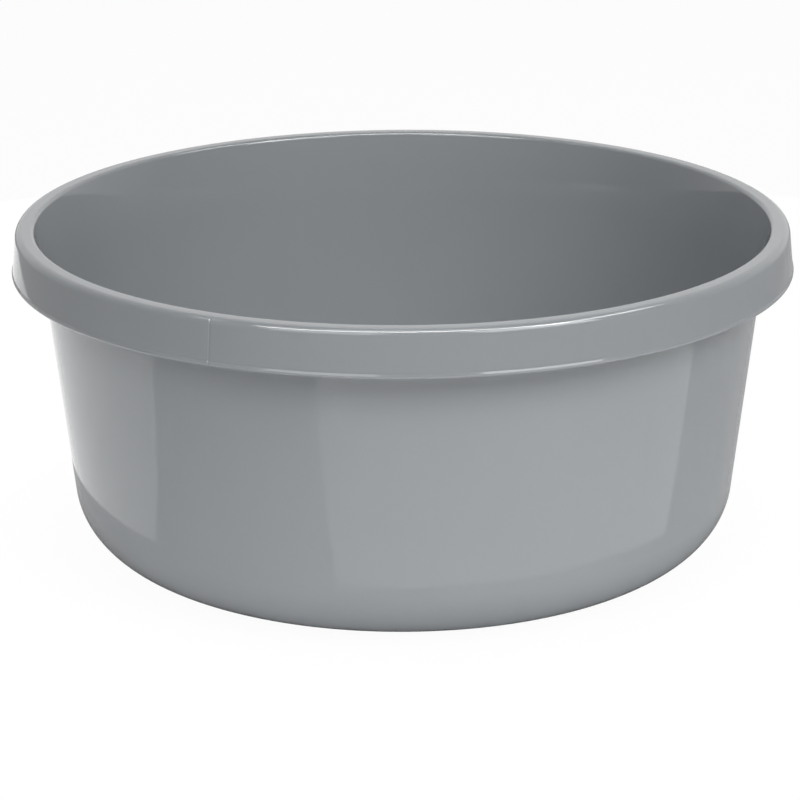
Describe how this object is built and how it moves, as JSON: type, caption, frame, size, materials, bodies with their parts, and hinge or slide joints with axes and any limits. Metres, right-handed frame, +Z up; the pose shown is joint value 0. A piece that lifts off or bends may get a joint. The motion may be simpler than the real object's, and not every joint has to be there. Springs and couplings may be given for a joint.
{
  "type": "washing up bowl",
  "caption": "Round open washing up bowl with a tapered wall, a large round heel and a flat rim turned down into a finger skirt, moulded in grey plastic.",
  "frame": {"origin": "centre of the base, on the plane that the bowl stands on", "axes": "+Z up along the bowl's axis of revolution, towards the open mouth; X and Y are equal, and -Y is the front of the picture"},
  "size_m": [0.3202, 0.3202, 0.136],
  "materials": {
    "bowl_plastic": "glossy moulded polypropylene, mid grey"
  },
  "bodies": {
    "root": {"base_floor": "bowl_plastic", "foot_ring": "bowl_plastic", "heel_right": "bowl_plastic", "heel_back_right": "bowl_plastic", "heel_back": "bowl_plastic", "heel_back_left": "bowl_plastic", "heel_left": "bowl_plastic", "heel_front_left": "bowl_plastic", "heel_front": "bowl_plastic", "heel_front_right": "bowl_plastic", "side_wall_right": "bowl_plastic", "side_wall_back_right": "bowl_plastic", "side_wall_back": "bowl_plastic", "side_wall_back_left": "bowl_plastic", "side_wall_left": "bowl_plastic", "side_wall_front_left": "bowl_plastic", "side_wall_front": "bowl_plastic", "side_wall_front_right": "bowl_plastic", "collar_right": "bowl_plastic", "collar_back_right": "bowl_plastic", "collar_back": "bowl_plastic", "collar_back_left": "bowl_plastic", "collar_left": "bowl_plastic", "collar_front_left": "bowl_plastic", "collar_front": "bowl_plastic", "collar_front_right": "bowl_plastic", "rim_land_right": "bowl_plastic", "rim_land_back_right": "bowl_plastic", "rim_land_back": "bowl_plastic", "rim_land_back_left": "bowl_plastic", "rim_land_left": "bowl_plastic", "rim_land_front_left": "bowl_plastic", "rim_land_front": "bowl_plastic", "rim_land_front_right": "bowl_plastic", "rim_skirt_right": "bowl_plastic", "rim_skirt_back_right": "bowl_plastic", "rim_skirt_back": "bowl_plastic", "rim_skirt_back_left": "bowl_plastic", "rim_skirt_left": "bowl_plastic", "rim_skirt_front_left": "bowl_plastic", "rim_skirt_front": "bowl_plastic", "rim_skirt_front_right": "bowl_plastic"}
  },
  "joints": []
}
